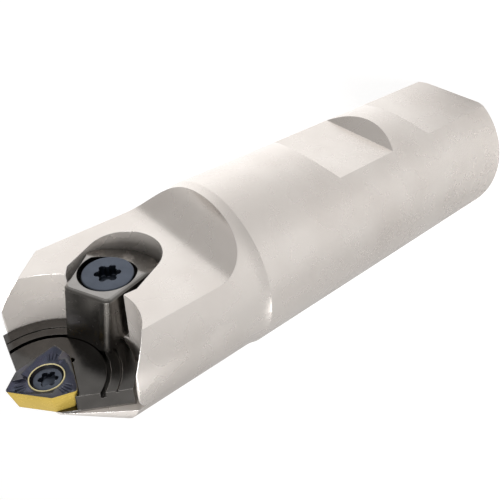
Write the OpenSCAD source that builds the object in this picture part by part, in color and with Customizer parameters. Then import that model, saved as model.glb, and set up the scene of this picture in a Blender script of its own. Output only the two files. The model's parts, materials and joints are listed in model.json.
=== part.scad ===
// Adjustable-angle chamfer milling cutter: one indexable insert on a swivelling cassette,
// held by a claw clamp in a round seat at the end of a 25 mm shank with two drive flats.
// Millimetres. The tool stands on its shank end: +Z runs along the axis to the cutting end,
// +Y is the side of the flats, and heights (_h) are measured along Y from the tool's axis.

/* [Shank] */
// Diameter of the shank
shank_d = 25; // [24:0.5:32]
// Length of the shank, from its end to the collar edge
shank_len = 56; // [50:1:80]
// Chamfer round the shank's end
end_chamfer = 0.7; // [0.3:0.1:1.5]
// Depth of the two drive flats
flat_depth = 2; // [1:0.1:2.5]
// Length of the closed drive flat
flat_len = 12; // [8:0.5:16]
// Distance from the shank's end to the closed drive flat
flat_start = 26; // [24:0.5:30]
// Length of the flat that is open at the shank's end
end_flat_len = 17; // [10:0.5:18.5]
// Slope of the walls that end the flats, in degrees
flat_wall_slope = 45; // [40:1:60]

/* [Head] */
// How far the head lies below the shank's surface
collar_step = 0.3; // [0.1:0.05:0.6]
// Radius of the fillet in front of the collar edge
collar_fillet_r = 6; // [2:0.5:8]
// Length of the head, from the collar edge to the front face
head_len = 27.3; // [26.5:0.1:34]
// Length of the cone at the front of the head
cone_len = 6.95; // [5:0.05:9]
// Diameter of the front face
front_face_d = 14.8; // [13:0.1:17]
// Height of the chip flat above the axis
chip_flat_h = 6.65; // [6.45:0.05:7.5]
// Radius of the scoop at the back of the chip flat
scoop_r = 5.75; // [4:0.05:6.5]
// Distance from the collar edge to the centre of the scoop
scoop_from_collar = 7.1; // [6.6:0.05:7.6]

/* [Seat] */
// Sideways place of the swivel centre
swivel_x = 3.3; // [2.8:0.05:3.8]
// Distance of the swivel centre behind the front face
swivel_back = 0.25; // [0:0.05:0.6]
// Radius of the round seat wall
seat_r = 10.15; // [9.9:0.01:10.3]
// Height of the seat floor
seat_floor_h = -4.2; // [-5:0.05:-3.9]
// Radius of the relief beside the seat
relief_r = 7; // [6.5:0.05:7.4]
// Relief centre, sideways from the swivel centre
relief_dx = 2.3; // [2:0.05:2.6]
// Relief centre, behind the swivel centre
relief_back = 3.8; // [3.5:0.05:4.1]

/* [Cassette] */
// Running clearance between cassette and seat wall
seat_clear = 0.08; // [0.03:0.01:0.1]
// Height of the cassette's top face
cassette_h = -0.8; // [-1.1:0.05:-0.6]
// Distance from the seat wall in to the rib that the claw hooks behind
rib_in = 3.5; // [3.3:0.05:3.7]
// Width of the claw groove
groove_w = 0.55; // [0.4:0.05:0.7]
// Depth of the claw groove
groove_depth = 0.9; // [0.7:0.05:1.2]
// Distance from the seat wall in to the fine ring line
ring_line_in = 1.85; // [1.5:0.05:2.1]
// Width of the fine ring line
ring_line_w = 0.2; // [0.1:0.05:0.3]
// Depth of the fine ring line
ring_line_depth = 0.3; // [0.1:0.05:0.5]
// Direction of the nose side's normal, in degrees from +X
nose_side_dir = 101; // [97:1:105]
// Distance of the nose side from the swivel centre
nose_side_d = 2.87; // [2.6:0.01:3.2]
// Direction of the rear side's normal, in degrees from +X
rear_side_dir = 30.5; // [27:0.5:34]
// Distance of the rear side from the swivel centre
rear_side_d = 3.1; // [2.9:0.05:3.4]
// How far the cassette stays back under the cutting edge
under_edge = 0.6; // [0.4:0.05:1]
// Height of the chamfers along its lower front edges
lower_chamfer_h = 0.9; // [0.6:0.05:1.3]
// Depth of that chamfer along the rear side
rear_chamfer = 0.5; // [0.2:0.05:0.8]
// Depth of that chamfer under the insert
front_chamfer = 1; // [0.8:0.05:1.2]

/* [Insert] */
// Height of the cutting edges, on the tool's axis
edge_h = 0; // [-0.1:0.05:0.1]
// Thickness of the insert
insert_t = 3.2; // [2.9:0.05:3.4]
// Distance of the sharp corners from the centre, before rounding
corner_r = 4.7; // [4.6:0.02:4.9]
// Distance of the blunt corners from the centre
blunt_r = 3.64; // [3.56:0.02:3.76]
// Angle from a sharp corner to the next blunt one, in degrees
blunt_step = 37.8; // [36:0.1:39]
// Direction of the nose corner from +X, in degrees
nose_dir = 99.4; // [97:0.1:103]
// Sideways distance of the insert's centre from its screw's axis
insert_dx = -0.06; // [-0.1:0.01:0.02]
// Distance of the insert's centre in front of its screw's axis
insert_dz = 0.08; // [-0.02:0.01:0.12]
// Nose radius
nose_r = 0.4; // [0.2:0.1:0.6]
// Clearance angle of the flanks, in degrees
flank_angle = 9; // [5:1:11]
// Width of the land along the cutting edges
land_w = 0.75; // [0.6:0.05:0.9]
// Depth of the dish inside the land
dish_depth = 0.5; // [0.4:0.05:0.6]
// Clearance round the insert in its pocket
pocket_clear = 0.06; // [0.03:0.01:0.1]
// Radius of the relief at the pocket's inner corner
pocket_relief_r = 0.4; // [0.3:0.05:0.6]

/* [Insert screw] */
// Thread diameter of the insert screw
insert_screw_d = 2.5; // [2:0.1:2.6]
// Head diameter of the insert screw
insert_head_d = 3.5; // [3.3:0.05:3.6]
// Depth of the head's face below the dish
insert_head_sink = 0.2; // [0.1:0.05:0.3]
// Gap between the insert screw and its hole in the insert
insert_hole_gap = 0.15; // [0.13:0.01:0.2]
// Width across the lobes of its socket
insert_socket_d = 2.3; // [2:0.05:2.4]
// Depth of its socket
insert_socket_t = 0.9; // [0.5:0.05:0.9]
// Distance of the insert screw's end above the seat floor
insert_screw_back = 0.1; // [0.1:0.05:0.5]

/* [Clamp] */
// Clamp screw axis, sideways from the tool's axis
clamp_x = -0.95; // [-1.1:0.05:-0.8]
// Wall between the seat and the clamp screw's threaded hole
clamp_wall = 0.31; // [0.3:0.01:0.6]
// Turn of the claw from the tool's axis, in degrees
claw_turn = 25; // [23:0.5:27]
// Height of the claw's top face
claw_h = 6.6; // [6.3:0.05:6.7]
// Height of the claw's underside
claw_under_h = -0.4; // [-0.5:0.05:1.8]
// Gap between the claw's underside and its pocket floor
claw_under_gap = 0.2; // [0.1:0.05:0.3]
// Radius of the claw's round heel
heel_r = 4.7; // [4.5:0.05:4.75]
// Distance from the screw axis back to the heel's centre
heel_back = 2.85; // [2.6:0.05:3]
// Radius of the pocket's round end
clamp_pocket_r = 5; // [4.95:0.05:5.1]
// Half width of the pocket at its mouth
clamp_mouth_half = 4.2; // [4.1:0.05:4.5]
// Distance from the screw axis forward to where the pocket narrows
clamp_narrow_at = 1.3; // [1:0.1:1.6]
// Length over which the pocket narrows
clamp_narrow_len = 1.4; // [1:0.1:1.6]
// Distance from the screw axis back to the pocket end's centre
clamp_pocket_back = 3.55; // [3.4:0.05:3.7]
// Half width between the claw's front corner centres at the top
claw_front_half = 2.4; // [2.2:0.05:2.5]
// Forward reach of the claw's front corner centres at the top
claw_front_reach = 3.7; // [3.5:0.05:3.9]
// Radius of the claw's front corners
claw_corner_r = 1; // [0.8:0.05:1.1]
// Chamfer round the claw's top
claw_chamfer = 0.4; // [0.2:0.05:0.5]
// Slope of the claw's heel, in degrees
heel_slope = 22; // [18:1:26]
// Distance from the screw axis back to where the heel slope starts
heel_slope_back = 1.5; // [1.2:0.1:1.8]
// Forward lean of the claw's leg from top to foot
leg_lean = 1.35; // [1.1:0.05:1.6]
// Clearance between the claw's toe and the rib
toe_clear = 0.1; // [0.05:0.01:0.15]
// Clearance between the claw's leg and the seat wall's edge
leg_clear = 0.3; // [0.2:0.05:0.4]
// Gap between the claw's foot and the cassette
foot_gap = 0.04; // [0.02:0.01:0.1]
// Depth of the toe in the groove
toe_depth = 0.6; // [0.4:0.05:0.7]

/* [Clamp screw] */
// Thread diameter of the clamp screw
clamp_screw_d = 3.5; // [3:0.1:3.6]
// Head diameter of the clamp screw
clamp_head_d = 6.55; // [6.2:0.05:6.8]
// Head height of the clamp screw
clamp_head_t = 2.3; // [2:0.05:2.6]
// Depth of the head's face below the claw's top
clamp_head_sink = 0.25; // [0.1:0.05:0.4]
// Gap between the head and its counterbore
clamp_head_gap = 0.42; // [0.2:0.02:0.45]
// Gap between the thread and the claw's through hole
clamp_hole_gap = 0.25; // [0.15:0.05:0.3]
// Length of the clamp screw under its head
clamp_screw_len = 12; // [10:0.5:14]
// Spare depth of the threaded hole past the clamp screw's end
clamp_hole_spare = 0.5; // [0.3:0.1:1]
// Width across the lobes of its socket
clamp_socket_d = 3.3; // [3:0.05:3.5]
// Depth of its socket
clamp_socket_t = 1.6; // [1.2:0.1:1.8]
// Chamfer round the head
clamp_head_chamfer = 0.15; // [0.1:0.05:0.3]
// Running clearance round a thread in its hole
thread_clear = 0.05; // [0.02:0.01:0.1]

/* [Hidden] */
$fn = 96;

shank_r = shank_d / 2;
head_r = shank_r - collar_step;
front_z = shank_len + head_len;
cone_z = front_z - cone_len;
fillet_len = sqrt(2 * collar_fillet_r * collar_step - pow(collar_step, 2));
flat_h = shank_r - flat_depth;
scoop_z = shank_len + scoop_from_collar;
swivel_z = front_z - swivel_back;
cassette_r = seat_r - seat_clear;
rib_r = seat_r - rib_in;
ring_line_r = seat_r - ring_line_in;
clamp_reach = seat_r + clamp_wall + clamp_screw_d / 2 + thread_clear;
clamp_back = sqrt(pow(clamp_reach, 2) - pow(swivel_x - clamp_x, 2));
clamp_z = swivel_z - clamp_back;
clamp_floor_h = claw_under_h - claw_under_gap;
foot_h = cassette_h + foot_gap;
head_face_h = claw_h - clamp_head_sink;
head_seat_h = head_face_h - clamp_head_t;
insert_floor_h = edge_h - insert_t;
dish_h = edge_h - dish_depth;
insert_face_h = dish_h - insert_head_sink;
clear_cut = 30;
small_facets = 32;
heel_facets = 72;
step = 0.01;
sliver = 0.05;
past = 1;
leg_back = 1.2;
leg_bar = 1;
toe_root = 0.3;
toe_inset = 0.1;
lobe_share = 0.14;
lobe_core_share = 0.37;

// Corner of the insert, with k = 0, 1, 2 for the sharp ones and the blunt one after each
function polar(r, a) = [r * cos(a), r * sin(a)];
function insert_corner(k) = polar(corner_r, nose_dir + 120 * k);
function insert_blunt(k) = polar(blunt_r, nose_dir + 120 * k + blunt_step);
function insert_points() = [for (k = [0:2], blunt = [0, 1]) blunt ? insert_blunt(k) : insert_corner(k)];

// Direction of the working edge's normal, between the nose and the blunt corner before it
edge_from = insert_blunt(2);
edge_to = insert_corner(0);
edge_vec = edge_to - edge_from;
edge_dir = atan2(edge_vec[1], edge_vec[0]) - 90;
edge_d = (edge_from[0] * edge_vec[1] - edge_from[1] * edge_vec[0]) / norm(edge_vec);
flank_scale = 1 - insert_t * tan(flank_angle) / edge_d;
under_edge_d = edge_d + insert_dx * cos(edge_dir) + insert_dz * sin(edge_dir) - under_edge;

// Stands a plan drawn in X and Z between two heights on the Y axis
module slab(low, high) {
    translate([0, high, 0]) rotate([90, 0, 0]) linear_extrude(high - low) children();
}

// Runs a profile drawn in Y and Z right across the tool
module across(width) {
    translate([-width / 2, 0, 0]) rotate([90, 0, 90]) linear_extrude(width) children();
}

// Plan placed at the swivel centre
module at_swivel() {
    translate([swivel_x, swivel_z]) children();
}

// Plan placed at the insert's centre
module at_insert() {
    at_swivel() translate([insert_dx, insert_dz]) children();
}

// Plan placed at the clamp screw, with its Y along the claw
module at_clamp() {
    translate([clamp_x, clamp_z]) rotate(-claw_turn) children();
}

// Half plane whose edge lies at distance d along direction dir, on the far side
module beyond(dir, d) {
    rotate(dir) translate([d, -clear_cut]) square([clear_cut, 2 * clear_cut]);
}

// Outline of a six-lobe socket
module six_lobe(across_d) {
    lobe_r = across_d * lobe_share;
    circle(across_d * lobe_core_share);
    for (k = [0:5]) rotate(60 * k) translate([across_d / 2 - lobe_r, 0]) circle(lobe_r);
}

// Half section of the turned blank
module blank_section() {
    difference() {
        union() {
            polygon([
                [0, 0],
                [shank_r - end_chamfer, 0],
                [shank_r, end_chamfer],
                [shank_r, shank_len],
                [0, shank_len]
            ]);
            translate([0, shank_len]) square([shank_r, fillet_len]);
            translate([0, shank_len]) square([head_r, cone_z - shank_len]);
        }
        translate([head_r + collar_fillet_r, shank_len + fillet_len]) circle(collar_fillet_r);
    }
    polygon([
        [0, cone_z - step],
        [head_r, cone_z - step],
        [head_r, cone_z],
        [front_face_d / 2, front_z],
        [0, front_z]
    ]);
}

// Drive flat between two lengths, with sloping end walls
module flat_profile(from, to, open_end) {
    rise = flat_depth + past;
    run = rise / tan(flat_wall_slope);
    polygon([
        [flat_h, from],
        [flat_h, to],
        [flat_h + rise, to + run],
        [flat_h + rise, open_end ? from : from - run]
    ]);
}

// Chip flat with the scoop that runs out at its back
module chip_profile() {
    translate([chip_flat_h, scoop_z]) square([clear_cut, clear_cut]);
    translate([chip_flat_h + scoop_r, scoop_z]) circle(scoop_r);
}

// Round-ended pocket for the claw, open towards the seat
module clamp_pocket_plan() {
    at_clamp() translate([0, -clamp_pocket_back]) circle(clamp_pocket_r);
    at_clamp() polygon([
        [-clamp_pocket_r, -clamp_pocket_back],
        [clamp_pocket_r, -clamp_pocket_back],
        [clamp_pocket_r, clamp_narrow_at],
        [clamp_mouth_half, clamp_narrow_at + clamp_narrow_len],
        [clamp_mouth_half, claw_front_reach + leg_lean],
        [-clamp_mouth_half, claw_front_reach + leg_lean],
        [-clamp_mouth_half, clamp_narrow_at + clamp_narrow_len],
        [-clamp_pocket_r, clamp_narrow_at]
    ]);
}

module body() {
    color([0.86, 0.83, 0.80]) difference() {
        rotate_extrude() blank_section();
        across(2 * shank_d) flat_profile(flat_start, flat_start + flat_len, false);
        across(2 * shank_d) flat_profile(-end_chamfer, end_flat_len, true);
        across(2 * shank_d) chip_profile();
        slab(seat_floor_h, clear_cut) at_swivel() circle(seat_r);
        slab(seat_floor_h, clear_cut) at_swivel() translate([relief_dx, -relief_back]) circle(relief_r);
        slab(clamp_floor_h, clear_cut) clamp_pocket_plan();
        slab(head_seat_h - clamp_screw_len - clamp_hole_spare, clear_cut) at_clamp()
            circle(clamp_screw_d / 2 + thread_clear);
    }
}

// Outline of the insert with its corners rounded, grown or shrunk by grow
module insert_plan(grow = 0) {
    offset(r = nose_r + grow, $fn = 48) offset(delta = -nose_r) polygon(insert_points());
}

module cassette_plan() {
    difference() {
        circle(cassette_r);
        beyond(nose_side_dir, nose_side_d);
        beyond(rear_side_dir, rear_side_d);
        beyond(edge_dir, under_edge_d);
    }
}

// Chamfer cut along the lower edge of the cassette's side that lies at distance d along dir
module lower_chamfer(dir, d, depth) {
    translate([swivel_x, seat_floor_h, swivel_z]) rotate([0, -dir, 0]) translate([d, 0, -clear_cut])
        linear_extrude(2 * clear_cut)
        polygon([
            [-depth, -past],
            [-depth, 0],
            [0, lower_chamfer_h],
            [past, lower_chamfer_h],
            [past, -past]
        ]);
}

// Plan of a ring line cut into the cassette's top
module ring(inner_r, width) {
    difference() {
        circle(inner_r + width);
        circle(inner_r);
    }
}

module cassette() {
    color([0.27, 0.26, 0.25]) difference() {
        slab(seat_floor_h, cassette_h) at_swivel() cassette_plan();
        slab(cassette_h - groove_depth, clear_cut) at_swivel() ring(rib_r, groove_w);
        slab(cassette_h - ring_line_depth, clear_cut) at_swivel() ring(ring_line_r, ring_line_w);
        slab(insert_floor_h, clear_cut) at_insert() insert_plan(pocket_clear);
        slab(insert_floor_h, clear_cut) at_insert() translate(insert_blunt(1)) circle(pocket_relief_r);
        slab(seat_floor_h - past, clear_cut) at_swivel() circle(insert_screw_d / 2 + thread_clear);
        lower_chamfer(nose_side_dir, nose_side_d, front_chamfer);
        lower_chamfer(rear_side_dir, rear_side_d, rear_chamfer);
        lower_chamfer(edge_dir, under_edge_d, front_chamfer);
    }
}

module insert() {
    centre_x = swivel_x + insert_dx;
    centre_z = swivel_z + insert_dz;
    sink_r = insert_head_d / 2 + insert_hole_gap + insert_head_sink;
    color([0.30, 0.31, 0.36]) difference() {
        translate([centre_x, edge_h, centre_z]) rotate([90, 0, 0])
            linear_extrude(insert_t, scale = flank_scale) insert_plan();
        slab(dish_h, clear_cut) at_insert() insert_plan(-land_w);
        translate([centre_x, dish_h - sink_r, centre_z]) rotate([-90, 0, 0])
            cylinder(r1 = 0, r2 = sink_r, h = sink_r);
        slab(insert_floor_h - past, clear_cut) at_insert()
            circle(insert_screw_d / 2 + insert_hole_gap);
    }
}

module insert_screw() {
    head_r1 = insert_head_d / 2;
    cone_h = head_r1 - insert_screw_d / 2;
    color([0.36, 0.38, 0.44]) difference() {
        union() {
            translate([swivel_x, insert_face_h - cone_h, swivel_z]) rotate([-90, 0, 0])
                cylinder(r1 = insert_screw_d / 2, r2 = head_r1, h = cone_h);
            slab(seat_floor_h + insert_screw_back, insert_face_h - cone_h) at_swivel()
                circle(insert_screw_d / 2);
        }
        slab(insert_face_h - insert_socket_t, clear_cut) at_swivel() six_lobe(insert_socket_d);
    }
}

// Discs round which the claw's head is drawn, shrunk by inset along the top chamfer
module claw_head_discs(inset = 0) {
    translate([0, -heel_back]) circle(heel_r - inset, $fn = heel_facets);
    for (side = [-1, 1])
        translate([side * claw_front_half, claw_front_reach])
            circle(claw_corner_r - inset, $fn = small_facets);
}

// Discs and bar round which the claw's leg is drawn, moved forward by lean
module claw_leg_discs(lean, inset = 0) {
    leg_half = claw_front_half + claw_corner_r - inset;
    translate([-leg_half, leg_back]) square([2 * leg_half, leg_bar]);
    for (side = [-1, 1])
        translate([side * claw_front_half, claw_front_reach + lean])
            circle(claw_corner_r - inset, $fn = small_facets);
}

module clamp_envelope() {
    hull() {
        slab(claw_under_h, claw_h - claw_chamfer) at_clamp() claw_head_discs();
        slab(claw_h - sliver, claw_h) at_clamp() claw_head_discs(claw_chamfer);
    }
    hull() {
        slab(claw_h - claw_chamfer - sliver, claw_h - claw_chamfer) at_clamp() claw_leg_discs(0);
        slab(foot_h, foot_h + sliver) at_clamp() claw_leg_discs(leg_lean);
    }
}

module clamp() {
    toe_r = rib_r + toe_clear;
    toe_w = groove_w - 2 * toe_clear;
    cone_top_r = toe_r + leg_lean;
    color([0.22, 0.21, 0.20]) difference() {
        union() {
            clamp_envelope();
            slab(foot_h - foot_gap - toe_depth, foot_h + toe_root) intersection() {
                at_swivel() ring(toe_r, toe_w);
                at_clamp() hull() claw_leg_discs(leg_lean, toe_inset);
            }
        }
        translate([swivel_x, foot_h - past, swivel_z]) rotate([-90, 0, 0])
            cylinder(r1 = toe_r, r2 = toe_r, h = past + step);
        translate([swivel_x, foot_h, swivel_z]) rotate([-90, 0, 0])
            cylinder(r1 = toe_r, r2 = cone_top_r, h = claw_h - claw_chamfer - foot_h);
        slab(foot_h - 2 * past, claw_under_h) difference() {
            at_clamp() square(clear_cut, center = true);
            at_swivel() circle(seat_r - leg_clear);
            at_swivel() translate([relief_dx, -relief_back]) circle(relief_r - leg_clear);
        }
        translate([clamp_x, claw_h, clamp_z]) rotate([0, claw_turn, 0])
            translate([0, 0, -heel_slope_back]) rotate([-heel_slope, 0, 0])
            translate([-clear_cut / 2, 0, -clear_cut]) cube([clear_cut, clear_cut, clear_cut]);
        slab(head_seat_h, clear_cut) at_clamp() circle(clamp_head_d / 2 + clamp_head_gap);
        slab(foot_h - 2 * past, clear_cut) at_clamp() circle(clamp_screw_d / 2 + clamp_hole_gap);
    }
}

module clamp_screw() {
    head_r1 = clamp_head_d / 2;
    color([0.33, 0.35, 0.39]) difference() {
        union() {
            slab(head_seat_h, head_face_h - clamp_head_chamfer) at_clamp() circle(head_r1);
            translate([clamp_x, head_face_h - clamp_head_chamfer, clamp_z]) rotate([-90, 0, 0])
                cylinder(r1 = head_r1, r2 = head_r1 - clamp_head_chamfer, h = clamp_head_chamfer);
            slab(head_seat_h - clamp_screw_len, head_seat_h) at_clamp() circle(clamp_screw_d / 2);
        }
        slab(head_face_h - clamp_socket_t, clear_cut) at_clamp() six_lobe(clamp_socket_d);
    }
}

body();
cassette();
insert();
insert_screw();
clamp();
clamp_screw();
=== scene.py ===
import json
import math

import bmesh
import bpy
from mathutils import Matrix, Quaternion, Vector


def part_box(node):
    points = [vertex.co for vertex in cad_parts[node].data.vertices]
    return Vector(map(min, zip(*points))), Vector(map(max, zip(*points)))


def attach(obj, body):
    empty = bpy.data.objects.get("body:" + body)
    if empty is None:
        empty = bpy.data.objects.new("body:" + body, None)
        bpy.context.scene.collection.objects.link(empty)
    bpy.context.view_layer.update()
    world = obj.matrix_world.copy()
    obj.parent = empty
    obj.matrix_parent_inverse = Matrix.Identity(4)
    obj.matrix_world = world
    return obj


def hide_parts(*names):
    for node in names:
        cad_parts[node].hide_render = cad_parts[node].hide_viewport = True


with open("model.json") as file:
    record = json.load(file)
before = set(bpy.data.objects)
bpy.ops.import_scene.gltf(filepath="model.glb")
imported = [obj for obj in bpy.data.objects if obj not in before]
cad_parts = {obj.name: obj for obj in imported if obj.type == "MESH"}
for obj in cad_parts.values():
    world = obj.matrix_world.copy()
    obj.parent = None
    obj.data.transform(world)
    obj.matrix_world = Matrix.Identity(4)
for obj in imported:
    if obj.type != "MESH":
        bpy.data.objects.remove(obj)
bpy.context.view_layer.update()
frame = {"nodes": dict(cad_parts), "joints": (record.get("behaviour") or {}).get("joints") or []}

bl_info = {
    "name": "Indexable Milling Cutter",
    "version": (1, 0, 0),
    "blender": (4, 5, 0),
    "location": "3D Viewport > Sidebar > Milling Cutter",
    "description": "Dresses the packed milling cutter with its metals, coated insert and screws",
    "category": "Object",
}

MM = 0.001


def joint_axis(name):
    """Where a joint's axis, which is parallel to Y, stands in X and Z."""
    joint = next(row for row in frame["joints"] if row["name"] == name)
    return joint["pos_m"][0], joint["pos_m"][2]


SWIVEL = joint_axis("cassette_swivel")
CLAMP_AXIS = joint_axis("clamp_screw_turn")
# The insert's centre stands a little off its screw's axis
INSERT = (SWIVEL[0] - 0.06 * MM, SWIVEL[1] + 0.08 * MM)
# Where the head's cone starts and ends, its radii there and the chip flat's height, in millimetres
CONE_HEIGHTS = (76.35, 83.3)
CONE_RADII = (12.2, 7.4)
FLAT_HEIGHT = 6.65
# Over which depths under the cone and the flat, and heights on the tool, the ground look sets in
POCKET_UNDER_CONE = (0.05, 0.15)
POCKET_UNDER_FLAT = (0.02, 0.1)
POCKET_HEIGHTS = (60, 61)
# How metallic the plated surface and the ground pockets look
PLATED = 0.85
GROUND = 0.48
# The claw's top face ends between these heights, in millimetres, and below it the claw is darkened to
# this colour as painted shade
CLAW_SHADE_HEIGHTS = (6.5, 6.35)
CLAW_PAINTED_SHADE = (0.14, 0.132, 0.122)


# Settings

class CutterFinish(bpy.types.PropertyGroup):
    """Colours and surface values of the metals."""
    nickel_light: bpy.props.FloatVectorProperty(
        name="Nickel light", description="Light tone of the nickel plating",
        default=(0.87, 0.82, 0.775), subtype="COLOR", min=0, max=1)
    nickel_dark: bpy.props.FloatVectorProperty(
        name="Nickel dark", description="Darker, warmer tone of the nickel plating",
        default=(0.79, 0.735, 0.69), subtype="COLOR", min=0, max=1)
    nickel_roughness: bpy.props.FloatProperty(
        name="Nickel roughness", description="Roughness of the nickel plating",
        default=0.27, min=0.02, max=1)
    black_steel: bpy.props.FloatVectorProperty(
        name="Black steel", description="Colour of the blackened cassette",
        default=(0.105, 0.1, 0.095), subtype="COLOR", min=0, max=1)
    # The claw's own colour, kept on its top face; below it the claw is darkened with painted shade
    claw_steel: bpy.props.FloatVectorProperty(
        name="Claw steel", description="Colour of the blackened claw",
        default=(0.4, 0.385, 0.37), subtype="COLOR", min=0, max=1)
    blued_steel: bpy.props.FloatVectorProperty(
        name="Blued steel", description="Colour of the blued screws",
        default=(0.1, 0.115, 0.145), subtype="COLOR", min=0, max=1)
    coating_dark: bpy.props.FloatVectorProperty(
        name="Dark coating", description="Colour of the insert's top coating",
        default=(0.08, 0.09, 0.13), subtype="COLOR", min=0, max=1)
    coating_land: bpy.props.FloatVectorProperty(
        name="Land coating", description="Colour of the insert's flats",
        default=(0.115, 0.115, 0.115), subtype="COLOR", min=0, max=1)
    coating_gold: bpy.props.FloatVectorProperty(
        name="Gold coating", description="Colour of the insert's flanks",
        default=(0.46, 0.33, 0.07), subtype="COLOR", min=0, max=1)
    ring_gold: bpy.props.FloatVectorProperty(
        name="Ring gold", description="Colour of the ring round the insert's hole",
        default=(0.86, 0.76, 0.42), subtype="COLOR", min=0, max=1)
    edge_width: bpy.props.FloatProperty(
        name="Edge width", description="Radius of the broken edges",
        default=0.0001, min=0, max=0.001, unit="LENGTH")


class CutterInsert(bpy.types.PropertyGroup):
    """Sizes of the cutting insert."""
    thickness: bpy.props.FloatProperty(
        name="Thickness", description="Thickness of the insert",
        default=0.0032, unit="LENGTH")
    sharp_reach: bpy.props.FloatProperty(
        name="Sharp reach", description="Distance of the sharp corners from the centre",
        default=0.0047, unit="LENGTH")
    blunt_reach: bpy.props.FloatProperty(
        name="Blunt reach", description="Distance of the blunt corners from the centre",
        default=0.00364, unit="LENGTH")
    nose_direction: bpy.props.FloatProperty(
        name="Nose direction", description="Direction of the nose corner from +X",
        default=math.radians(99.4), subtype="ANGLE")
    blunt_step: bpy.props.FloatProperty(
        name="Blunt step", description="Angle from a sharp corner to the next blunt one",
        default=math.radians(37.8), subtype="ANGLE")
    nose_radius: bpy.props.FloatProperty(
        name="Nose radius", description="Radius of the rounded corners",
        default=0.0004, unit="LENGTH")
    flank_angle: bpy.props.FloatProperty(
        name="Flank angle", description="Clearance angle of the flanks",
        default=math.radians(9), subtype="ANGLE")
    land_width: bpy.props.FloatProperty(
        name="Land width", description="Width of the narrow land at the sharp corners",
        default=0.00007, unit="LENGTH")
    island_reach: bpy.props.FloatProperty(
        name="Island reach", description="How near the flats at the blunt corners come to the centre",
        default=0.00275, unit="LENGTH")
    dish_depth: bpy.props.FloatProperty(
        name="Dish depth", description="Depth of the dish inside the land",
        default=0.0005, unit="LENGTH")
    ring_radius: bpy.props.FloatProperty(
        name="Ring radius", description="Outer radius of the ring round the hole",
        default=0.0021, unit="LENGTH")
    ring_width: bpy.props.FloatProperty(
        name="Ring width", description="Width of the ring round the hole",
        default=0.00017, unit="LENGTH")
    ring_height: bpy.props.FloatProperty(
        name="Ring height", description="Height of the ring over the bottom of the dish",
        default=0.00012, unit="LENGTH")
    hole_radius: bpy.props.FloatProperty(
        name="Hole radius", description="Radius of the insert's hole",
        default=0.0014, unit="LENGTH")
    hone: bpy.props.FloatProperty(
        name="Hone", description="Width of the rounding along the cutting edges",
        default=0.00003, unit="LENGTH")
    ridge_count: bpy.props.IntProperty(
        name="Ridges", description="Chip-breaker ridges at each sharp corner",
        default=6, min=1, max=12)
    ridge_length: bpy.props.FloatProperty(
        name="Ridge length", description="Length of a ridge", default=0.0015, unit="LENGTH")
    ridge_radius: bpy.props.FloatProperty(
        name="Ridge radius", description="Radius of a ridge's round section",
        default=0.00013, unit="LENGTH")
    ridge_fan: bpy.props.FloatProperty(
        name="Ridge fan", description="Angle between the first ridge and the last at a corner",
        default=math.radians(36), subtype="ANGLE")
    ridge_slope: bpy.props.FloatProperty(
        name="Ridge slope", description="How much the ridges fall outwards",
        default=math.radians(7), subtype="ANGLE")
    ridge_turn: bpy.props.FloatProperty(
        name="Ridge turn", description="How far the fan is turned from the corner",
        default=math.radians(10), subtype="ANGLE")


class CutterScrews(bpy.types.PropertyGroup):
    """Sizes of the two screws."""
    clamp_head: bpy.props.FloatProperty(
        name="Clamp screw head", description="Head diameter of the clamp screw",
        default=0.00655, unit="LENGTH")
    clamp_thread: bpy.props.FloatProperty(
        name="Clamp screw thread", description="Thread diameter of the clamp screw",
        default=0.0035, unit="LENGTH")
    clamp_pitch: bpy.props.FloatProperty(
        name="Clamp screw pitch", description="Pitch of the clamp screw's thread",
        default=0.0006, unit="LENGTH")
    clamp_socket: bpy.props.FloatProperty(
        name="Clamp screw socket", description="Width across the lobes of its socket",
        default=0.0033, unit="LENGTH")
    clamp_socket_depth: bpy.props.FloatProperty(
        name="Clamp screw socket depth", description="Depth of its socket",
        default=0.0016, unit="LENGTH")
    clamp_plain: bpy.props.FloatProperty(
        name="Clamp screw plain length", description="Length from its face to the thread",
        default=0.00515, unit="LENGTH")
    insert_head: bpy.props.FloatProperty(
        name="Insert screw head", description="Head diameter of the insert screw",
        default=0.0035, unit="LENGTH")
    insert_thread: bpy.props.FloatProperty(
        name="Insert screw thread", description="Thread diameter of the insert screw",
        default=0.0025, unit="LENGTH")
    insert_pitch: bpy.props.FloatProperty(
        name="Insert screw pitch", description="Pitch of the insert screw's thread",
        default=0.00045, unit="LENGTH")
    insert_socket: bpy.props.FloatProperty(
        name="Insert screw socket", description="Width across the lobes of its socket",
        default=0.0023, unit="LENGTH")
    insert_socket_depth: bpy.props.FloatProperty(
        name="Insert screw socket depth", description="Depth of its socket",
        default=0.00075, unit="LENGTH")
    insert_plain: bpy.props.FloatProperty(
        name="Insert screw plain length", description="Length from its face to the thread",
        default=0.0014, unit="LENGTH")


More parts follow.
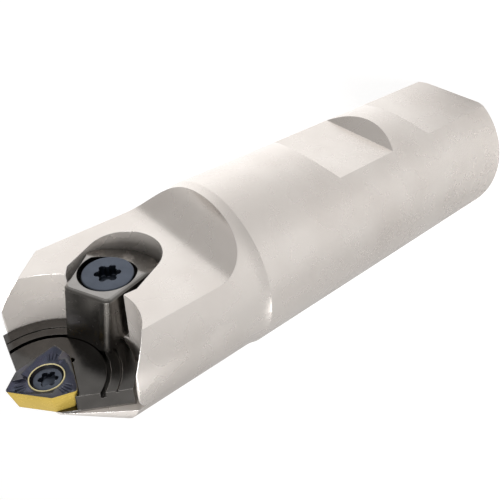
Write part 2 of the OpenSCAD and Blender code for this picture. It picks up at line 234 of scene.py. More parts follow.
class CutterStudio(bpy.types.PropertyGroup):
    """The floor, the lights and the camera."""
    floor_colour: bpy.props.FloatVectorProperty(
        name="Floor", description="Colour of the floor",
        default=(0.5, 0.5, 0.5), subtype="COLOR", min=0, max=1)
    floor_size: bpy.props.FloatProperty(
        name="Floor size", description="Side of the square floor",
        default=6.0, unit="LENGTH")
    sky_strength: bpy.props.FloatProperty(
        name="Sky", description="Strength of the even light all round",
        default=0.42, min=0)
    sky_lit: bpy.props.FloatProperty(
        name="Lit sky", description="Strength of the light from the lit side",
        default=0.9, min=0)
    lit_direction: bpy.props.FloatVectorProperty(
        name="Lit side", description="Direction of the lighter part of the sky",
        default=(0.35, -0.9, 0.25), subtype="DIRECTION")
    shade_direction: bpy.props.FloatVectorProperty(
        name="Shaded side", description="Direction of the darker part of the sky",
        default=(0.04, -0.62, 0.785), subtype="DIRECTION")
    floor_glow: bpy.props.FloatProperty(
        name="Floor glow", description="Light that comes off the floor everywhere",
        default=0.28, min=0)
    floor_sides: bpy.props.FloatProperty(
        name="Floor sides", description="Extra light off the floor to both sides of the tool",
        default=0.38, min=0)
    floor_lean: bpy.props.FloatProperty(
        name="Floor lean", description="How much more of it comes from the far side",
        default=0.3, min=0)
    floor_shade: bpy.props.FloatProperty(
        name="Floor shade", description="How much less comes from the front right",
        default=0.4, min=0)
    strip_power: bpy.props.FloatProperty(
        name="Strip light", description="Power of the upright strip light", default=0.8, min=0)
    top_power: bpy.props.FloatProperty(
        name="Top light", description="Power of the soft light above the cutting end",
        default=0.28, min=0)
    lens: bpy.props.FloatProperty(
        name="Lens", description="Focal length on a 36 mm wide sensor, in millimetres",
        default=43.76, min=10)
    camera_place: bpy.props.FloatVectorProperty(
        name="Camera place", description="Where the camera stands",
        default=(0.05263, 0.05509, 0.09726), subtype="TRANSLATION", unit="LENGTH")
    camera_target: bpy.props.FloatVectorProperty(
        name="Camera target", description="What the camera points at",
        default=(0.01227, 0.01202, 0.06), subtype="TRANSLATION", unit="LENGTH")
    camera_roll: bpy.props.FloatProperty(
        name="Camera roll", description="How far the camera is rolled",
        default=math.radians(-118.09), subtype="ANGLE")


GROUPS = (
    ("cutter_finish", CutterFinish),
    ("cutter_insert", CutterInsert),
    ("cutter_screws", CutterScrews),
    ("cutter_studio", CutterStudio),
)


# Node trees

def add_node(tree, kind, inputs=None, **settings):
    """Adds a node; an input is a value or the output socket that feeds it."""
    node = tree.nodes.new(kind)
    for name, value in settings.items():
        setattr(node, name, value)
    for key, value in (inputs or {}).items():
        if isinstance(value, bpy.types.NodeSocket):
            tree.links.new(value, node.inputs[key])
        else:
            node.inputs[key].default_value = value
    return node


def maths(tree, operation, *values):
    """Result of a sum on numbers."""
    return add_node(tree, "ShaderNodeMath", dict(enumerate(values)), operation=operation).outputs[0]


def vector_maths(tree, operation, *values):
    """Results of a sum on vectors, by name."""
    return add_node(tree, "ShaderNodeVectorMath", dict(enumerate(values)), operation=operation).outputs


def in_millimetres(tree, stretch=(1, 1, 1)):
    """Object coordinates in millimetres, stretched along the axes."""
    coordinates = add_node(tree, "ShaderNodeTexCoord").outputs["Object"]
    scale = [s / MM for s in stretch]
    return add_node(tree, "ShaderNodeMapping", {"Vector": coordinates, "Scale": scale}).outputs[0]


def height_on_part(tree):
    """Height above the plane of the insert's face, in millimetres."""
    return add_node(tree, "ShaderNodeSeparateXYZ", {0: in_millimetres(tree)}).outputs["Y"]


def noise(tree, scale, detail=3, stretch=(1, 1, 1)):
    """Noise with so many features a millimetre."""
    values = {"Vector": in_millimetres(tree, stretch), "Scale": scale, "Detail": detail,
              "Roughness": 0.55}
    return add_node(tree, "ShaderNodeTexNoise", values).outputs["Fac"]


def spread(tree, value, low, high, to_low=0.0, to_high=1.0):
    """Maps a range of a value onto another one."""
    values = {"Value": value, "From Min": low, "From Max": high, "To Min": to_low,
              "To Max": to_high}
    return add_node(tree, "ShaderNodeMapRange", values).outputs["Result"]


def blend_colour(tree, factor, first, second):
    """Mix of two colours."""
    node = add_node(tree, "ShaderNodeMix", data_type="RGBA")
    for socket, value in ((0, factor), (6, first), (7, second)):
        if isinstance(value, bpy.types.NodeSocket):
            tree.links.new(value, node.inputs[socket])
        elif socket:
            node.inputs[socket].default_value = (*value[:3], 1)
        else:
            node.inputs[socket].default_value = value
    return node.outputs[2]


def grey(tree, level):
    """Grey colour of a level."""
    return add_node(tree, "ShaderNodeCombineColor", {0: level, 1: level, 2: level}).outputs[0]


def darker(colour, share):
    return [c * share for c in colour]


# Finishes

def new_material(name):
    material = bpy.data.materials.new(name)
    material.use_nodes = True
    material.node_tree.nodes.clear()
    return material, material.node_tree


def edge_wear(tree, width):
    """Normal that rounds the edges, and a mask of those edges."""
    rounded = add_node(tree, "ShaderNodeBevel", {"Radius": width}, samples=12).outputs[0]
    flat = add_node(tree, "ShaderNodeNewGeometry").outputs["Normal"]
    likeness = vector_maths(tree, "DOT_PRODUCT", rounded, flat)["Value"]
    return rounded, spread(tree, likeness, 0.995, 0.8)


def bump(tree, height, strength, depth, normal):
    """Normal with fine relief of a depth in millimetres."""
    return add_node(tree, "ShaderNodeBump", {
        "Strength": strength, "Distance": depth * MM, "Height": height, "Normal": normal}).outputs[0]


def end_material(tree, values):
    """Puts a principled shader with these inputs on the surface."""
    shader = add_node(tree, "ShaderNodeBsdfPrincipled", values)
    add_node(tree, "ShaderNodeOutputMaterial", {"Surface": shader.outputs[0]})


def metal(name, light, dark, roughness, worn, edge_width, cloud=0.25, grain=9.0, grain_bump=0.05,
          brushed=None, brushed_bump=0.0, speck=0.0, metallic=1.0, specular=0.5, painted_shade=None):
    """Metal with a clouded colour, fine grain, worn edges, an optional lay of tool marks and optional
    painted shade.
    """
    material, tree = new_material(name)
    colour = blend_colour(tree, spread(tree, noise(tree, cloud, 4), 0.35, 0.65), light, dark)
    if speck:
        spots = spread(tree, noise(tree, grain * 0.6, 2), 0.62, 0.72, 0, speck)
        colour = blend_colour(tree, spots, colour, darker(dark, 0.45))
    # An optional painted shade darkens part of the colour
    if painted_shade:
        colour = painted_shade(tree, colour)
    rounded, edges = edge_wear(tree, edge_width)
    colour = blend_colour(tree, edges, colour, worn)
    rough = spread(tree, noise(tree, cloud * 3, 3), 0.3, 0.7, roughness - 0.03, roughness + 0.03)
    normal = bump(tree, noise(tree, grain, 2), grain_bump, 0.02, rounded)
    if brushed:
        normal = bump(tree, noise(tree, 1.0, 3, brushed), brushed_bump, 0.02, normal)
    if callable(metallic):
        metallic = metallic(tree)
    end_material(tree, {"Base Color": colour, "Roughness": rough, "Normal": normal,
                        "Metallic": metallic, "Specular IOR Level": specular})
    return material


def ground_pockets(tree):
    """How metallic the holder looks: less in the ground seat and in the claw's pocket."""
    spot = in_millimetres(tree)
    parts = add_node(tree, "ShaderNodeSeparateXYZ", {0: spot}).outputs
    level = vector_maths(tree, "MULTIPLY", spot, (1, 1, 0))["Vector"]
    cone = spread(tree, parts["Z"], *CONE_HEIGHTS, *CONE_RADII)
    depth = maths(tree, "SUBTRACT", cone, vector_maths(tree, "LENGTH", level)["Value"])
    under_cone = spread(tree, depth, *POCKET_UNDER_CONE)
    under_flat = spread(tree, parts["Y"], *(FLAT_HEIGHT - d for d in POCKET_UNDER_FLAT))
    in_head = spread(tree, parts["Z"], *POCKET_HEIGHTS)
    inside = maths(tree, "MULTIPLY", maths(tree, "MULTIPLY", under_cone, under_flat), in_head)
    return spread(tree, inside, 0, 1, PLATED, GROUND)


def shade_below_claw_top(tree, colour):
    """Leaves a colour on the claw's top face and darkens the claw below it as painted shade."""
    below = spread(tree, height_on_part(tree), *CLAW_SHADE_HEIGHTS)
    return blend_colour(tree, below, colour, CLAW_PAINTED_SHADE)


def nickel_plate(finish):
    """Bright nickel, duller in the ground pockets."""
    return metal("nickel_plate", finish.nickel_light, finish.nickel_dark, finish.nickel_roughness,
                 worn=(0.9, 0.885, 0.87), edge_width=finish.edge_width, cloud=0.08, grain=3.0,
                 grain_bump=0.008, brushed=(0.2, 0.2, 2.5), brushed_bump=0.01,
                 metallic=ground_pockets)


def black_cassette(finish):
    """Black oxide with a lay of grinding marks."""
    return metal("black_cassette", finish.black_steel, darker(finish.black_steel, 0.82),
                 roughness=0.2, worn=(0.2, 0.19, 0.18), edge_width=0.06 * MM, cloud=0.4, grain=10.0,
                 grain_bump=0.03, brushed=(6.0, 0.3, 0.3), brushed_bump=0.03, speck=0.15)


def black_claw(finish):
    """Black oxide, darkened below the top face with painted shade."""
    return metal("black_claw", finish.claw_steel, darker(finish.claw_steel, 0.85), roughness=0.25,
                 worn=(0.3, 0.29, 0.28), edge_width=0.08 * MM, cloud=0.4, grain_bump=0.03,
                 speck=0.12, painted_shade=shade_below_claw_top)


def blued_screw(finish):
    """Blued steel, as the screws have."""
    return metal("blued_screw", finish.blued_steel, darker(finish.blued_steel, 0.85),
                 roughness=0.34, worn=(0.2, 0.22, 0.26), edge_width=0.06 * MM, cloud=0.6,
                 grain=12.0, grain_bump=0.12, speck=0.3)


def dark_coating(finish):
    """Dark coating of the insert, bluish below the flats and grey on them."""
    material, tree = new_material("insert_dark_coating")
    below = spread(tree, height_on_part(tree), -0.02, -0.1)
    colour = blend_colour(tree, below, finish.coating_land, finish.coating_dark)
    clouds = spread(tree, noise(tree, 0.7, 3), 0.42, 0.62, 0.0, 0.45)
    colour = blend_colour(tree, clouds, colour, (0.095, 0.085, 0.135))
    specks = spread(tree, noise(tree, 12.0, 2), 0.45, 0.75, 0.0, 0.35)
    colour = blend_colour(tree, specks, colour, (0.2, 0.21, 0.24))
    rounded, edges = edge_wear(tree, 0.05 * MM)
    colour = blend_colour(tree, edges, colour, (0.2, 0.2, 0.22))
    rough = spread(tree, noise(tree, 1.5, 2), 0.3, 0.7, 0.26, 0.38)
    normal = bump(tree, noise(tree, 22.0, 2), 0.12, 0.01, rounded)
    end_material(tree, {"Base Color": colour, "Roughness": rough, "Normal": normal,
                        "Metallic": 0.9})
    return material


def gold_coating(finish):
    """Gold coating of the insert's flanks, with fine grinding marks."""
    return metal("insert_gold_coating", finish.coating_gold, darker(finish.coating_gold, 0.88),
                 roughness=0.26, worn=(0.8, 0.68, 0.35), edge_width=0.05 * MM, cloud=0.5,
                 grain=16.0, grain_bump=0.02, brushed=(0.5, 14, 0.5), brushed_bump=0.03,
                 metallic=0.3, specular=0.0)


def ring_coating(finish):
    """Paler gold of the ring round the insert's hole."""
    return metal("insert_ring_gold", finish.ring_gold, darker(finish.ring_gold, 0.9),
                 roughness=0.3, worn=(0.95, 0.9, 0.7), edge_width=0.03 * MM, cloud=0.8,
                 grain=16.0, grain_bump=0.04, metallic=0.7)


def shaded_hole_side():
    """Nearly black countersink and side of the insert's hole, as painted shade."""
    return metal("insert_hole", (0.03, 0.03, 0.034), (0.022, 0.022, 0.026), roughness=0.4,
                 worn=(0.05, 0.05, 0.05), edge_width=0.03 * MM, cloud=0.8, grain=12.0)


def dress(node_name, material):
    """Gives a carried-over node its material."""
    node = frame["nodes"][node_name]
    node.data.materials.clear()
    node.data.materials.append(material)


# Meshes

def place(plan, height, centre):
    """Point of a plan round a centre, at a height on the Y axis."""
    return Vector((centre[0] + plan[0], height, centre[1] + plan[1]))


def loft(name, rings, centre, materials, bands=(0,), closed_loop=False):
    """Mesh through rings of (plan points, height), closed by a cap at each end or into a loop."""
    mesh = bpy.data.meshes.new(name)
    shape = bmesh.new()
    rows = [[shape.verts.new(place(p, h, centre)) for p in plan] for plan, h in rings]
    pairs = list(zip(rows, rows[1:]))
    if closed_loop:
        pairs.append((rows[-1], rows[0]))
    for band, (low, high) in enumerate(pairs):
        for i in range(len(low)):
            j = (i + 1) % len(low)
            face = shape.faces.new((low[i], low[j], high[j], high[i]))
            face.material_index = bands[band % len(bands)]
            face.smooth = True
    if not closed_loop:
        for row, index in ((rows[0], bands[0]), (rows[-1], bands[-1])):
            face = shape.faces.new(row)
            face.material_index = index
    bmesh.ops.remove_doubles(shape, verts=shape.verts, dist=1e-8)
    bmesh.ops.recalc_face_normals(shape, faces=shape.faces)
    shape.to_mesh(mesh)
    shape.free()
    for material in materials:
        mesh.materials.append(material)
    piece = bpy.data.objects.new(name, mesh)
    bpy.context.scene.collection.objects.link(piece)
    mesh.set_sharp_from_angle(angle=math.radians(32))
    return piece


def circle(radius, angles):
    return [(radius * math.cos(a), radius * math.sin(a)) for a in angles]


def six_lobe(across, angles):
    """Outline of a six-lobe socket, as the CAD draws it."""
    lobe = across * 0.14
    reach = across / 2 - lobe
    core = across * 0.37
    points = []
    for a in angles:
        best = core
        for k in range(6):
            turn = a - k * math.pi / 3
            side = reach * math.sin(turn)
            if abs(side) < lobe and math.cos(turn) > 0:
                best = max(best, reach * math.cos(turn) + math.sqrt(lobe * lobe - side * side))
        points.append((best * math.cos(a), best * math.sin(a)))
    return points


def finished(piece, body, replaced):
    """Rides a finished piece on its body and hides the nodes it stands for."""
    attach(piece, body)
    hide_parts(*replaced)


# Geometry trees

def new_geometry_tree(name, sockets):
    """Geometry node tree with a geometry input and output and the named inputs."""
    tree = bpy.data.node_groups.new(name, "GeometryNodeTree")
    tree.interface.new_socket("Geometry", in_out="INPUT", socket_type="NodeSocketGeometry")
    tree.interface.new_socket("Geometry", in_out="OUTPUT", socket_type="NodeSocketGeometry")
    for label, kind in sockets:
        tree.interface.new_socket(label, in_out="INPUT", socket_type="NodeSocket" + kind)
    return tree, tree.nodes.new("NodeGroupInput").outputs


def end_geometry_tree(tree, entry, made):
    """Stands what was made up along Y, gives it place and material, and joins it to what came in."""
    turned = add_node(tree, "GeometryNodeTransform", {
        "Geometry": made, "Rotation": (math.radians(90), 0, 0), "Translation": entry["Place"]})
    dressed = add_node(tree, "GeometryNodeSetMaterial", {
        "Geometry": turned.outputs[0], "Material": entry["Material"]})
    real = add_node(tree, "GeometryNodeRealizeInstances", {"Geometry": dressed.outputs[0]})
    joined = add_node(tree, "GeometryNodeJoinGeometry")
    tree.links.new(real.outputs[0], joined.inputs[0])
    tree.links.new(entry["Geometry"], joined.inputs[0])
    add_node(tree, "NodeGroupOutput", {0: joined.outputs[0]})


def grow(piece, tree, values):
    """Runs a tree with these inputs on a piece and makes the result its plain mesh."""
    modifier = piece.modifiers.new(tree.name, "NODES")
    modifier.node_group = tree
    sockets = {item.name: item.identifier for item in tree.interface.items_tree
               if item.item_type == "SOCKET" and item.in_out == "INPUT"}
    for name, value in values.items():
        modifier[sockets[name]] = value
    evaluated = piece.evaluated_get(bpy.context.evaluated_depsgraph_get())
    mesh = bpy.data.meshes.new_from_object(evaluated)
    piece.modifiers.clear()
    piece.data = mesh


def thread_tree():
    """Helical thread ridge down the Y axis, from a start height."""
    tree, entry = new_geometry_tree("Screw thread", (
        ("Radius", "Float"), ("Pitch", "Float"), ("Turns", "Float"), ("Ridge", "Float"),
        ("Place", "Vector"), ("Material", "Material")))
    length = maths(tree, "MULTIPLY", entry["Pitch"], entry["Turns"])
    middle = maths(tree, "SUBTRACT", entry["Radius"], entry["Ridge"])
    helix = add_node(tree, "GeometryNodeCurveSpiral", {
        "Resolution": 40, "Rotations": entry["Turns"], "Start Radius": middle,
        "End Radius": middle, "Height": length})
    upright = add_node(tree, "GeometryNodeSetCurveNormal", {"Curve": helix.outputs[0]}, mode="Z_UP")
    profile = add_node(tree, "GeometryNodeCurvePrimitiveCircle", {
        "Resolution": 3, "Radius": entry["Ridge"]})
    ridge = add_node(tree, "GeometryNodeCurveToMesh", {
        "Curve": upright.outputs[0], "Profile Curve": profile.outputs[0], "Fill Caps": True})
    end_geometry_tree(tree, entry, ridge.outputs[0])
    return tree


def ridge_tree():
    """Ridges that fan out from the insert's sharp corners towards its hole."""
    tree, entry = new_geometry_tree("Chip breaker ridges", (
        ("Count", "Int"), ("Inner", "Float"), ("Length", "Float"), ("Fan", "Float"),
        ("Radius", "Float"), ("Slope", "Float"), ("Nose", "Float"), ("Place", "Vector"),
        ("Material", "Material")))
    ball = add_node(tree, "GeometryNodeMeshUVSphere", {
        "Segments": 10, "Rings": 6, "Radius": entry["Radius"]})
    half = maths(tree, "MULTIPLY", entry["Length"], 0.5)
    stretch = maths(tree, "DIVIDE", half, entry["Radius"])
    out = maths(tree, "ADD", entry["Inner"], half)
    ridge = add_node(tree, "GeometryNodeTransform", {
        "Geometry": ball.outputs[0],
        "Scale": add_node(tree, "ShaderNodeCombineXYZ", {"X": stretch, "Y": 1.0, "Z": 1.0}).outputs[0],
        "Rotation": add_node(tree, "ShaderNodeCombineXYZ", {"Y": entry["Slope"]}).outputs[0],
        "Translation": add_node(tree, "ShaderNodeCombineXYZ", {"X": out}).outputs[0]})
    total = maths(tree, "MULTIPLY", entry["Count"], 3.0)
    points = add_node(tree, "GeometryNodePoints", {"Count": total})
    index = add_node(tree, "GeometryNodeInputIndex").outputs[0]
    within = maths(tree, "MODULO", index, entry["Count"])
    corner = maths(tree, "FLOOR", maths(tree, "DIVIDE", index, entry["Count"]))
    share = maths(tree, "DIVIDE", within, maths(tree, "SUBTRACT", entry["Count"], 1.0))
    fan = maths(tree, "MULTIPLY", maths(tree, "SUBTRACT", share, 0.5), entry["Fan"])
    turn = maths(tree, "ADD", maths(tree, "MULTIPLY", corner, math.tau / 3), entry["Nose"])
    turn = maths(tree, "ADD", turn, fan)
    placed = add_node(tree, "GeometryNodeInstanceOnPoints", {
        "Points": points.outputs[0], "Instance": ridge.outputs[0],
        "Rotation": add_node(tree, "ShaderNodeCombineXYZ", {"Z": turn}).outputs[0]})
    end_geometry_tree(tree, entry, placed.outputs[0])
    return tree


# The insert

# Which material each band of the insert has, from its foot over the top and down its hole
# The countersink and the hole's side get a nearly black painted shade
GOLD, DARK, RING, HOLE_SHADE = range(4)
INSERT_BANDS = [GOLD] * 3 + [DARK] * 7 + [RING] * 4 + [HOLE_SHADE] * 2 + [GOLD] * 2
# The dish's fall: how far in from the flats in millimetres, at most what share of the way to the
# ring, and what share of the depth
DISH_STEPS = ((0.06, 0.3, 0.08), (0.3, 0.55, 0.5), (0.75, 0.8, 0.85), (1.6, 0.93, 0.97))


def insert_corners(form, shrink=0.0):
    """Corners of the insert's plan, moved in by shrink, with the directions of its sides."""
    corners = []
    for k in range(3):
        sharp = form.nose_direction + k * math.tau / 3
        corners.append((form.sharp_reach, sharp))
        corners.append((form.blunt_reach, sharp + form.blunt_step))
    points = [(r * math.cos(a), r * math.sin(a)) for r, a in corners]
    sides = []
    for k, first in enumerate(points):
        second = points[(k + 1) % len(points)]
        run = (second[0] - first[0], second[1] - first[1])
        direction = math.atan2(-run[0], run[1])
        distance = first[0] * math.cos(direction) + first[1] * math.sin(direction)
        sides.append((direction, distance - shrink))
    moved = []
    for k in range(len(points)):
        (a, da), (b, db) = sides[k - 1], sides[k]
        cross = math.sin(b - a)
        x = (da * math.sin(b) - db * math.sin(a)) / cross
        y = (db * math.cos(a) - da * math.cos(b)) / cross
        moved.append(((x, y), a, b))
    return moved


def nearest_side(form):
    """Distance of the insert's nearest side from its centre."""
    return min(x * math.cos(before) + y * math.sin(before)
               for (x, y), before, _ in insert_corners(form))


def insert_outline(form, grow_by=0.0, arc_points=9, side_points=40):
    """Rounded outline of the insert, grown or shrunk, always with the same number of points."""
    radius = max(form.nose_radius + grow_by, 0.05 * MM)
    arcs = []
    for (x, y), before, after in insert_corners(form, radius - grow_by):
        step = (after - before) % math.tau / (arc_points - 1)
        turns = [before + i * step for i in range(arc_points)]
        arcs.append([(x + radius * math.cos(a), y + radius * math.sin(a)) for a in turns])
    points = []
    for k, arc in enumerate(arcs):
        points += arc
        start, end = arc[-1], arcs[(k + 1) % len(arcs)][0]
        for i in range(1, side_points):
            share = i / side_points
            points.append((start[0] + (end[0] - start[0]) * share,
                           start[1] + (end[1] - start[1]) * share))
    return points


def top_land(form, outline):
    """Inner edge of the top's flats: narrow round each sharp corner, an island at each blunt one."""
    clear = 9 * MM
    ring = form.ring_radius + 0.5 * MM
    blunt = math.degrees(form.blunt_step)
    # Degrees from a sharp corner, and how near the edge comes to the centre there
    marks = ((blunt - 25, clear), (blunt - 19, ring), (blunt - 11, ring),
             (blunt - 4, form.island_reach + 0.2 * MM), (blunt + 7, form.island_reach),
             (blunt + 35, form.island_reach), (blunt + 45, form.island_reach + 0.22 * MM),
             (blunt + 63, form.island_reach + 0.85 * MM))
    points = []
    for x, y in outline:
        angle = math.atan2(y, x)
        turn = math.degrees(angle - form.nose_direction) % 120
        reach = math.hypot(x, y) - form.land_width
        for (low, first), (high, second) in zip(marks, marks[1:]):
            if low <= turn < high:
                reach = min(reach, first + (second - first) * (turn - low) / (high - low))
        points.append((reach * math.cos(angle), reach * math.sin(angle)))
    return points


def inward(first, second, reach, most):
    """Plan moved from one plan towards another by a length, or by a share of the way if less."""
    points = []
    for a, b in zip(first, second):
        share = min(most, reach / max(math.dist(a, b), 1e-9))
        points.append((a[0] + (b[0] - a[0]) * share, a[1] + (b[1] - a[1]) * share))
    return points


def insert_rings(form):
    """Plans and heights of the insert, from its foot over the top and down its hole."""
    outline = insert_outline(form)
    angles = [math.atan2(y, x) for x, y in outline]
    foot = 1 - form.thickness * math.tan(form.flank_angle) / nearest_side(form)
    land = top_land(form, outline)
    ring_foot = circle(form.ring_radius + 0.02 * MM, angles)
    ring_inside = form.ring_radius - form.ring_width
    dish = -form.dish_depth
    crest = dish + form.ring_height
    rings = [
        ([(x * foot * 0.99, y * foot * 0.99) for x, y in outline], -form.thickness),
        ([(x * foot, y * foot) for x, y in outline], -form.thickness + 0.04 * MM),
        (outline, -form.hone),
        (insert_outline(form, -0.4 * form.hone), -0.3 * form.hone),
        (insert_outline(form, -form.hone), 0.0),
        (land, 0.0),
    ]
    for reach, most, fall in DISH_STEPS:
        rings.append((inward(land, ring_foot, reach * MM, most), dish * fall))
    return rings + [
        (ring_foot, dish),
        (circle(form.ring_radius, angles), crest - 0.03 * MM),
        (circle(form.ring_radius - 0.03 * MM, angles), crest),
        (circle(ring_inside + 0.03 * MM, angles), crest),
        (circle(ring_inside, angles), crest - 0.04 * MM),
        (circle(form.hole_radius, angles), crest - 0.6 * MM),
        (circle(form.hole_radius, angles), -form.thickness + 0.04 * MM),
        (circle(form.hole_radius + 0.04 * MM, angles), -form.thickness),
    ]


class CUTTER_OT_insert(bpy.types.Operator):
    """Builds the coated insert with its lands, dish, ring and chip-breaker ridges"""
    bl_idname = "cutter.insert"
    bl_label = "Coated Insert"

    def execute(self, context):
        form = context.scene.cutter_insert
        finish = context.scene.cutter_finish
        dark = dark_coating(finish)
        materials = (gold_coating(finish), dark, ring_coating(finish), shaded_hole_side())
        piece = loft("coated_insert", insert_rings(form), INSERT, materials, INSERT_BANDS,
                     closed_loop=True)
        grow(piece, ridge_tree(), {
            "Count": form.ridge_count, "Inner": form.ring_radius + 0.12 * MM,
            "Length": form.ridge_length, "Fan": form.ridge_fan, "Radius": form.ridge_radius,
            "Slope": form.ridge_slope, "Nose": form.nose_direction + form.ridge_turn,
            "Place": place((0, 0), 0.05 * MM - form.dish_depth, INSERT), "Material": dark})
        finished(piece, "swivel", ["insert"])
        return {"FINISHED"}


# The screws

SCREW_SIDES = 144


def screw(name, node, body, centre, head, socket, socket_depth, thread, pitch, plain, tree, material):
    """Screw in a node's place, with a six-lobe socket, a lofted head and a thread along -Y.

    The head is pairs of a radius and a depth under the face, thread is the thread's radius and
    plain the length from the face to the thread."""
    low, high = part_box(node)
    end, face = low[1], high[1]
    angles = [i * math.tau / SCREW_SIDES for i in range(SCREW_SIDES)]
    floor = face - socket_depth
    start = face - plain
    root = thread - 0.5 * pitch
    rings = [
        (circle(0.05 * socket, angles), floor - 0.12 * socket),
        (circle(0.3 * socket, angles), floor),
        (six_lobe(0.96 * socket, angles), floor),
        (six_lobe(socket, angles), floor + 0.06 * MM),
        (six_lobe(socket, angles), face - 0.05 * MM),
        (six_lobe(socket + 0.09 * MM, angles), face),
    ]
    rings += [(circle(radius, angles), face - depth) for radius, depth in head]
    rings += [
        (circle(thread, angles), start + 0.3 * MM),
        (circle(root, angles), start),
        (circle(root, angles), end + 0.25 * MM),
        (circle(root - 0.25 * MM, angles), end),
    ]
    piece = loft(name, rings, centre, (material,))
    quarter_turns = math.floor((start - end - 0.31 * MM) / pitch * 4)
    grow(piece, tree, {
        "Radius": thread, "Pitch": pitch, "Turns": quarter_turns / 4, "Ridge": 0.31 * pitch,
        "Place": place((0, 0), start - 0.05 * MM, centre), "Material": material})
    finished(piece, body, [node])


def clamp_screw(form, tree, material):
    """Cap screw through the claw."""
    radius = form.clamp_head / 2
    thread = form.clamp_thread / 2
    head = ((radius - 0.32 * MM, 0), (radius - 0.15 * MM, 0.01 * MM), (radius - 0.04 * MM, 0.09 * MM),
            (radius, 0.2 * MM), (radius, 2.22 * MM), (radius - 0.08 * MM, 2.3 * MM),
            (thread + 0.1 * MM, 2.3 * MM), (thread, 2.4 * MM))
    screw("clamp_screw_turned", "clamp_screw", "locking_screw", CLAMP_AXIS, head,
          form.clamp_socket, form.clamp_socket_depth, thread, form.clamp_pitch, form.clamp_plain,
          tree, material)


def insert_screw(form, tree, material):
    """Small screw that holds the insert."""
    radius = form.insert_head / 2
    thread = form.insert_thread / 2
    head = ((radius - 0.16 * MM, 0), (radius - 0.06 * MM, 0.02 * MM), (radius, 0.08 * MM),
            (radius, 0.14 * MM), (thread + 0.02 * MM, 0.5 * MM), (thread, 0.55 * MM))
    screw("insert_screw_turned", "insert_screw", "swivel", SWIVEL, head,
          form.insert_socket, form.insert_socket_depth, thread, form.insert_pitch,
          form.insert_plain, tree, material)


class CUTTER_OT_screws(bpy.types.Operator):
    """Builds the clamp screw and the insert screw with their sockets and threads"""
    bl_idname = "cutter.screws"
    bl_label = "Screws"

    def execute(self, context):
        form = context.scene.cutter_screws
        tree = thread_tree()
        material = blued_screw(context.scene.cutter_finish)
        clamp_screw(form, tree, material)
        insert_screw(form, tree, material)
        return {"FINISHED"}


# Carried-over nodes

class CUTTER_OT_holder(bpy.types.Operator):
    """Gives the turned holder its nickel plating"""
    bl_idname = "cutter.holder"
    bl_label = "Holder"

    def execute(self, context):
        dress("body", nickel_plate(context.scene.cutter_finish))
        return {"FINISHED"}


class CUTTER_OT_cassette(bpy.types.Operator):
    """Gives the cassette its black oxide finish"""
    bl_idname = "cutter.cassette"
    bl_label = "Cassette"

    def execute(self, context):
        dress("cassette", black_cassette(context.scene.cutter_finish))
        return {"FINISHED"}


class CUTTER_OT_claw(bpy.types.Operator):
    """Gives the claw its black finish, darkened below its top face as painted shade"""
    bl_idname = "cutter.claw"
    bl_label = "Claw"

    def execute(self, context):
        dress("clamp", black_claw(context.scene.cutter_finish))
        return {"FINISHED"}


# The stage

# Each lamp's name, place, what it points at, size and the setting with its power
LAMPS = (
    ("top_light", (0.12, 0.01, 0.2), (0, 0, 0.08), (0.1, 0.1), "top_power"),
    ("strip_light", (0.35, -0.28, 0.06), (0, 0, 0.06), (0.12, 0.3), "strip_power"),
)
# How bright the floor and the sky look to the camera itself
SEEN_FLOOR = (0.75, 0.75, 0.75)
SEEN_SKY = 1.1
# Where the sky's lit and shaded parts set in and are full, as cosines from their directions
LIT_SPREAD = (-0.1, 0.85)
SHADE_SPREAD = (0.88, 0.97)
SHADE_LEVEL = 0.12
# How far the floor's bright sides are turned from the X axis, and where its dimmer part lies
SIDES_TURN = math.radians(5)
FRONT_RIGHT = math.radians(-55)


def aim(place_at, look_at):
    """Upright turn of a lamp or camera that points at a spot."""
    return (Vector(look_at) - Vector(place_at)).to_track_quat("-Z", "Y")


def area_light(name, place_at, look_at, size, power):
    light = bpy.data.lights.new(name, "AREA")
    light.shape = "RECTANGLE"
    light.size, light.size_y = size
    light.energy = power
    lamp = bpy.data.objects.new(name, light)
    lamp.location = place_at
    lamp.rotation_euler = aim(place_at, look_at).to_euler()
    bpy.context.scene.collection.objects.link(lamp)


def seen_by_camera(tree):
    return add_node(tree, "ShaderNodeLightPath").outputs["Is Camera Ray"]


def floor_light(tree, studio):
    """Light off the floor: more to both sides, most from the far one, least in front on the right."""
    spot = add_node(tree, "ShaderNodeTexCoord").outputs["Object"]
    spot = add_node(tree, "ShaderNodeMapping", {"Vector": spot, "Rotation": (0, 0, SIDES_TURN)})
    way = vector_maths(tree, "NORMALIZE", spot.outputs[0])["Vector"]
    across = add_node(tree, "ShaderNodeSeparateXYZ", {0: way}).outputs["X"]
    sides = spread(tree, maths(tree, "POWER", across, 2.0), 0, 1, studio.floor_glow,
                   studio.floor_glow + studio.floor_sides)
    lean = maths(tree, "MULTIPLY_ADD", across, -studio.floor_lean, sides)
    right = (math.cos(FRONT_RIGHT), math.sin(FRONT_RIGHT), 0)
    front = vector_maths(tree, "DOT_PRODUCT", way, right)["Value"]
    shade = spread(tree, front, 0, 1, 0, studio.floor_shade)
    level = maths(tree, "MAXIMUM", maths(tree, "SUBTRACT", lean, shade), 0.0)
    return grey(tree, level)


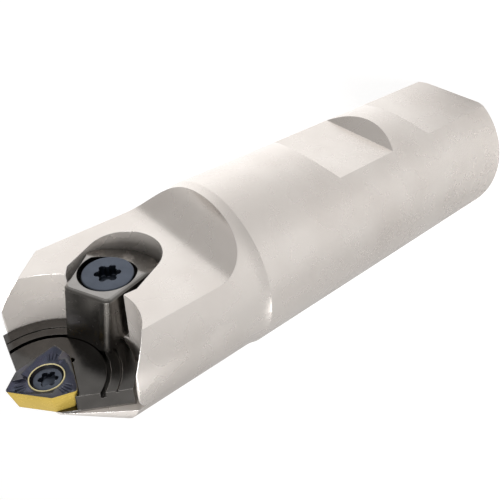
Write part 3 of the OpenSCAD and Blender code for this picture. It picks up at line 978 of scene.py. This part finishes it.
def pale_floor(studio):
    """Floor that looks white to the camera and lights the tool from below."""
    half = studio.floor_size / 2
    mesh = bpy.data.meshes.new("floor")
    mesh.from_pydata([(-half, -half, 0), (half, -half, 0), (half, half, 0), (-half, half, 0)],
                     [], [(0, 1, 2, 3)])
    floor = bpy.data.objects.new("floor", mesh)
    bpy.context.scene.collection.objects.link(floor)
    pale, tree = new_material("pale_floor")
    matt = add_node(tree, "ShaderNodeBsdfDiffuse", {"Color": (*studio.floor_colour, 1)})
    glow = blend_colour(tree, seen_by_camera(tree), floor_light(tree, studio), SEEN_FLOOR)
    lit = add_node(tree, "ShaderNodeEmission", {"Color": glow, "Strength": 1.0})
    both = add_node(tree, "ShaderNodeAddShader", {0: lit.outputs[0], 1: matt.outputs[0]})
    add_node(tree, "ShaderNodeOutputMaterial", {"Surface": both.outputs[0]})
    mesh.materials.append(pale)


def studio_sky(studio):
    """Even light all round, stronger from one side and with one dark patch for the metal."""
    world = bpy.data.worlds.new("studio_sky")
    world.use_nodes = True
    tree = world.node_tree
    tree.nodes.clear()
    way = add_node(tree, "ShaderNodeTexCoord").outputs["Generated"]
    lit = vector_maths(tree, "DOT_PRODUCT", way, studio.lit_direction)["Value"]
    level = spread(tree, lit, *LIT_SPREAD, studio.sky_strength, studio.sky_lit)
    shaded = vector_maths(tree, "DOT_PRODUCT", way, studio.shade_direction)["Value"]
    level = maths(tree, "MULTIPLY", level, spread(tree, shaded, *SHADE_SPREAD, 1.0, SHADE_LEVEL))
    level = maths(tree, "MAXIMUM", level, maths(tree, "MULTIPLY", seen_by_camera(tree), SEEN_SKY))
    sky = add_node(tree, "ShaderNodeBackground", {"Color": (1, 0.985, 0.97, 1), "Strength": level})
    add_node(tree, "ShaderNodeOutputWorld", {"Surface": sky.outputs[0]})
    bpy.context.scene.world = world


def photo_camera(studio):
    """Camera at the photograph's viewing angle, rolled because the tool lies aslant there."""
    lens = bpy.data.cameras.new("camera")
    lens.sensor_width = 36.0
    lens.lens = studio.lens
    lens.clip_start = 0.01
    lens.clip_end = 30.0
    camera = bpy.data.objects.new("camera", lens)
    roll = Quaternion((0, 0, 1), studio.camera_roll)
    turn = aim(studio.camera_place, studio.camera_target) @ roll
    camera.matrix_world = Matrix.LocRotScale(studio.camera_place, turn, None)
    bpy.context.scene.collection.objects.link(camera)
    bpy.context.scene.camera = camera


class CUTTER_OT_studio(bpy.types.Operator):
    """Sets up the pale floor, the soft lights and the camera"""
    bl_idname = "cutter.studio"
    bl_label = "Studio"

    def execute(self, context):
        studio = context.scene.cutter_studio
        pale_floor(studio)
        studio_sky(studio)
        context.scene.view_settings.view_transform = "Standard"
        for name, place_at, look_at, size, power in LAMPS:
            area_light(name, place_at, look_at, size, getattr(studio, power))
        photo_camera(studio)
        return {"FINISHED"}


# The add-on

class CUTTER_PT_panel(bpy.types.Panel):
    """Lists the cutter's pieces and their settings"""
    bl_idname = "CUTTER_PT_panel"
    bl_label = "Milling Cutter"
    bl_space_type = "VIEW_3D"
    bl_region_type = "UI"
    bl_category = "Milling Cutter"

    def draw(self, context):
        for operator in OPERATORS:
            self.layout.operator(operator.bl_idname)
        for name, group in GROUPS:
            box = self.layout.box()
            box.label(text=group.__doc__)
            for key in group.__annotations__:
                box.prop(getattr(context.scene, name), key)


OPERATORS = (CUTTER_OT_studio, CUTTER_OT_holder, CUTTER_OT_cassette, CUTTER_OT_claw,
             CUTTER_OT_insert, CUTTER_OT_screws)
CLASSES = tuple(group for _, group in GROUPS) + OPERATORS + (CUTTER_PT_panel,)


def register():
    for cls in CLASSES:
        bpy.utils.register_class(cls)
    for name, group in GROUPS:
        setattr(bpy.types.Scene, name, bpy.props.PointerProperty(type=group))


def unregister():
    for name, _ in GROUPS:
        delattr(bpy.types.Scene, name)
    for cls in reversed(CLASSES):
        bpy.utils.unregister_class(cls)


def plain(box):
    return [[float(x) for x in corner] for corner in box]


def main():
    register()
    bpy.ops.cutter.studio()
    bpy.ops.cutter.holder()
    bpy.ops.cutter.cassette()
    bpy.ops.cutter.claw()
    bpy.ops.cutter.insert()
    bpy.ops.cutter.screws()


if __name__ == "__main__":
    main()
